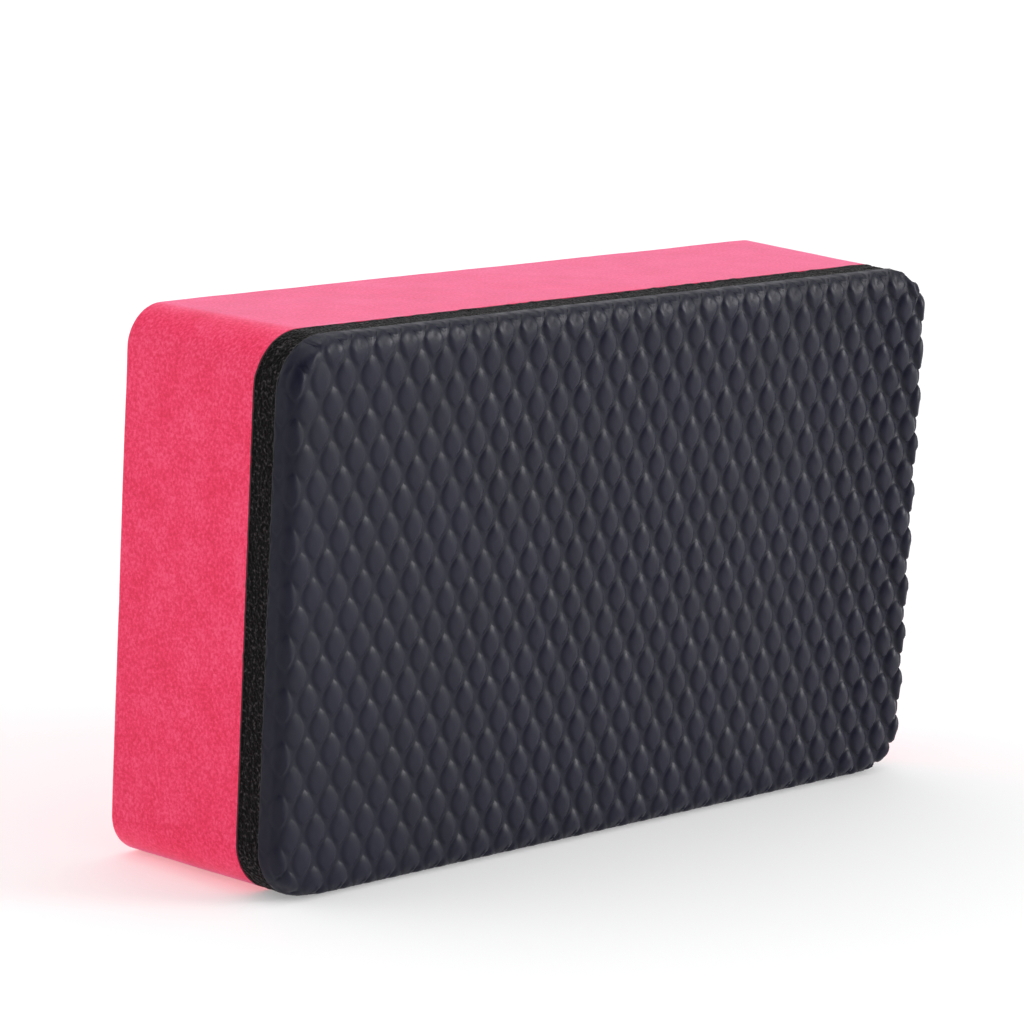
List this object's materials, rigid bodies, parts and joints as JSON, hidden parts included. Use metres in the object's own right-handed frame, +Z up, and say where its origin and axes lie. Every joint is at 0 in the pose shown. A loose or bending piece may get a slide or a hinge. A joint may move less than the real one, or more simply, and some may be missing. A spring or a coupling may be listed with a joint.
{
  "type": "sanding block",
  "caption": "Hand block of thick foam with a glued sponge pad and a pebbled rubber face, a flat rounded rectangle that stands on its long side.",
  "frame": {"origin": "middle of the long narrow side that the block stands on", "axes": "+X along the block's length, +Z up along its height, -Y out of the pebbled working face"},
  "size_m": [0.101, 0.026, 0.06],
  "materials": {
    "pink_foam": "matte",
    "black_sponge": "matte",
    "skin_rubber": "satin",
    "glue": "matte"
  },
  "bodies": {
    "root": {"foam_block": "pink_foam", "block_glue": "glue", "sponge_pad": "black_sponge", "skin_glue": "glue", "rubber_skin": "skin_rubber"}
  },
  "joints": []
}
